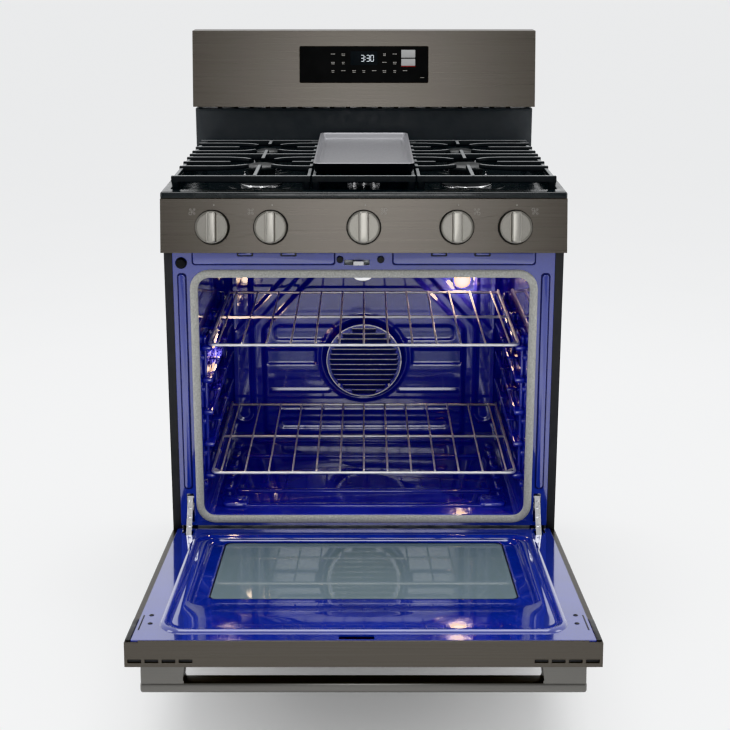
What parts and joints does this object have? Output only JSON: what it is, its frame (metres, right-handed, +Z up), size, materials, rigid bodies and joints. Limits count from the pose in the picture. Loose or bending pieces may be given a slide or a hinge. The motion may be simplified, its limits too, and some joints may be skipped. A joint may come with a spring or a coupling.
{
  "type": "freestanding gas range",
  "caption": "Freestanding gas cooking range with a low backguard, burner grates, a griddle, a drop-down oven door, sliding racks and a storage drawer.",
  "frame": {"origin": "on the floor, at the centre of the rectangle of four feet", "axes": "+Z up, +Y towards the wall behind the range, +X to the right for someone who stands in front of it"},
  "size_m": [0.756, 1.2111, 1.176],
  "materials": {
    "casing_paint": "satin black powder coat",
    "galvanised_sheet": "plain galvanised sheet",
    "black_stainless": "horizontally brushed black stainless steel",
    "handle_metal": "brushed black stainless steel",
    "knob_metal": "fine satin warm silver",
    "blue_enamel": "glossy blue vitreous enamel",
    "cavity_enamel": "glossy dark blue vitreous enamel",
    "gasket_weave": "woven glass-fibre rope gasket",
    "burner_tube": "heat-dulled steel tube",
    "lamp_lens": "clear lens with a warm lamp behind",
    "bright_steel": "bright plated steel",
    "mineral_wool": "loose mineral wool",
    "black_enamel": "glossy black porcelain enamel",
    "burner_alloy": "cast aluminium",
    "cast_iron": "matte black cast iron",
    "griddle_iron": "seasoned grey cast iron",
    "brass_fitting": "machined brass",
    "black_rubber": "matte black",
    "guard_paint": "satin dark grey",
    "display_black": "black glass touch panel",
    "circuit_board": "green board",
    "dark_trim": "dark ring",
    "oven_glass": "tinted oven glass"
  },
  "bodies": {
    "chassis": {"side_panel_left": "casing_paint", "side_panel_right": "casing_paint", "rear_panel": "galvanised_sheet", "base_frame": "galvanised_sheet", "levelling_legs": "black_rubber", "front_frame": "blue_enamel", "oven_gasket": "gasket_weave", "oven_liner": "cavity_enamel", "oven_rear_wall": "cavity_enamel", "oven_floor": "cavity_enamel", "fan_cover": "cavity_enamel", "fan_motor": "galvanised_sheet", "broil_burner": "burner_tube", "bake_burner": "burner_tube", "oven_lamps": "lamp_lens", "temperature_sensor": "bright_steel", "insulation": "mineral_wool", "cooktop_pan": "black_enamel", "burner_bases": "burner_alloy", "burner_caps": "cast_iron", "gas_manifold": "galvanised_sheet", "gas_valves": "brass_fitting", "cord_gland": "black_rubber", "control_panel": "black_stainless", "knob_bezels": "dark_trim", "backguard_lower": "guard_paint", "backguard_panel": "black_stainless", "display_glass": "display_black", "control_board": "circuit_board", "latch_housing": "galvanised_sheet", "hinge_receivers": "bright_steel", "drawer_rails": "galvanised_sheet"},
    "door": {"door_skin": "black_stainless", "door_liner": "blue_enamel", "door_glass": "oven_glass", "door_insulation": "mineral_wool", "door_hinge_channels": "bright_steel", "door_handle": "handle_metal"},
    "strut_left": {"hinge_strut_left": "bright_steel"},
    "strut_right": {"hinge_strut_right": "bright_steel"},
    "latch": {"door_latch": "bright_steel"},
    "fan": {"convection_fan": "galvanised_sheet"},
    "drawer": {"drawer_front": "black_stainless", "drawer_box": "galvanised_sheet"},
    "upper_rack": {"rack_upper": "bright_steel"},
    "lower_rack": {"rack_lower": "bright_steel"},
    "left_grate": {"grate_left": "cast_iron"},
    "middle_grate": {"grate_centre": "cast_iron"},
    "right_grate": {"grate_right": "cast_iron"},
    "griddle_plate": {"griddle": "griddle_iron"},
    "stem_1": {"valve_stem_1": "bright_steel"},
    "control_knob_1": {"knob_1": "knob_metal"},
    "stem_2": {"valve_stem_2": "bright_steel"},
    "control_knob_2": {"knob_2": "knob_metal"},
    "stem_3": {"valve_stem_3": "bright_steel"},
    "control_knob_3": {"knob_3": "knob_metal"},
    "stem_4": {"valve_stem_4": "bright_steel"},
    "control_knob_4": {"knob_4": "knob_metal"},
    "stem_5": {"valve_stem_5": "bright_steel"},
    "control_knob_5": {"knob_5": "knob_metal"}
  },
  "joints": [
    {"name": "door_hinge", "type": "hinge", "parent": "chassis", "child": "door", "pos_m": [0, -0.325, 0.225], "axis": [1, 0, 0], "range_deg": [-84.5, 0]},
    {"name": "strut_left_pivot", "type": "hinge", "parent": "chassis", "child": "strut_left", "pos_m": [-0.342, -0.2925, 0.301], "axis": [1, 0, 0], "range_deg": [0, 23.5]},
    {"name": "strut_right_pivot", "type": "hinge", "parent": "chassis", "child": "strut_right", "pos_m": [0.342, -0.2925, 0.301], "axis": [1, 0, 0], "range_deg": [0, 23.5]},
    {"name": "latch_pivot", "type": "hinge", "parent": "chassis", "child": "latch", "pos_m": [-0.013, -0.28, 0.776], "axis": [0, 0, 1], "range_deg": [0, 20]},
    {"name": "fan_spin", "type": "hinge", "parent": "chassis", "child": "fan", "pos_m": [0, 0.19, 0.447], "axis": [0, 1, 0], "continuous": true},
    {"name": "drawer_slide", "type": "slide", "parent": "chassis", "child": "drawer", "axis": [0, -1, 0], "range_m": [0, 0.35]},
    {"name": "upper_rack_slide", "type": "slide", "parent": "chassis", "child": "upper_rack", "axis": [0, -1, 0], "range_m": [0, 0.28]},
    {"name": "lower_rack_slide", "type": "slide", "parent": "chassis", "child": "lower_rack", "axis": [0, -1, 0], "range_m": [0, 0.28]},
    {"name": "left_grate_lift", "type": "slide", "parent": "chassis", "child": "left_grate", "axis": [0, 0, 1], "range_m": [0, 0.1]},
    {"name": "middle_grate_lift", "type": "slide", "parent": "chassis", "child": "middle_grate", "axis": [0, 0, 1], "range_m": [0, 0.1]},
    {"name": "right_grate_lift", "type": "slide", "parent": "chassis", "child": "right_grate", "axis": [0, 0, 1], "range_m": [0, 0.1]},
    {"name": "griddle_lift", "type": "slide", "parent": "middle_grate", "child": "griddle_plate", "axis": [0, 0, 1], "range_m": [0, 0.06]},
    {"name": "knob_1_push", "type": "slide", "parent": "chassis", "child": "stem_1", "axis": [0, 0.9823, -0.1874], "range_m": [0, 0.003], "stiffness_N_per_m": 800, "springref_m": -0.002},
    {"name": "knob_1_turn", "type": "hinge", "parent": "stem_1", "child": "control_knob_1", "pos_m": [-0.281, -0.33101, 0.85015], "axis": [0, -0.9823, 0.1874], "range_deg": [0, 270]},
    {"name": "knob_2_push", "type": "slide", "parent": "chassis", "child": "stem_2", "axis": [0, 0.9823, -0.1874], "range_m": [0, 0.003], "stiffness_N_per_m": 800, "springref_m": -0.002},
    {"name": "knob_2_turn", "type": "hinge", "parent": "stem_2", "child": "control_knob_2", "pos_m": [-0.1726, -0.33101, 0.85015], "axis": [0, -0.9823, 0.1874], "range_deg": [0, 270]},
    {"name": "knob_3_push", "type": "slide", "parent": "chassis", "child": "stem_3", "axis": [0, 0.9823, -0.1874], "range_m": [0, 0.003], "stiffness_N_per_m": 800, "springref_m": -0.002},
    {"name": "knob_3_turn", "type": "hinge", "parent": "stem_3", "child": "control_knob_3", "pos_m": [0, -0.33101, 0.85015], "axis": [0, -0.9823, 0.1874], "range_deg": [0, 270]},
    {"name": "knob_4_push", "type": "slide", "parent": "chassis", "child": "stem_4", "axis": [0, 0.9823, -0.1874], "range_m": [0, 0.003], "stiffness_N_per_m": 800, "springref_m": -0.002},
    {"name": "knob_4_turn", "type": "hinge", "parent": "stem_4", "child": "control_knob_4", "pos_m": [0.1726, -0.33101, 0.85015], "axis": [0, -0.9823, 0.1874], "range_deg": [0, 270]},
    {"name": "knob_5_push", "type": "slide", "parent": "chassis", "child": "stem_5", "axis": [0, 0.9823, -0.1874], "range_m": [0, 0.003], "stiffness_N_per_m": 800, "springref_m": -0.002},
    {"name": "knob_5_turn", "type": "hinge", "parent": "stem_5", "child": "control_knob_5", "pos_m": [0.281, -0.33101, 0.85015], "axis": [0, -0.9823, 0.1874], "range_deg": [0, 270]}
  ],
  "couplings": [
    {"joint": "strut_left_pivot", "follows": "door_hinge", "ratio": -0.277},
    {"joint": "strut_right_pivot", "follows": "door_hinge", "ratio": -0.277}
  ]
}
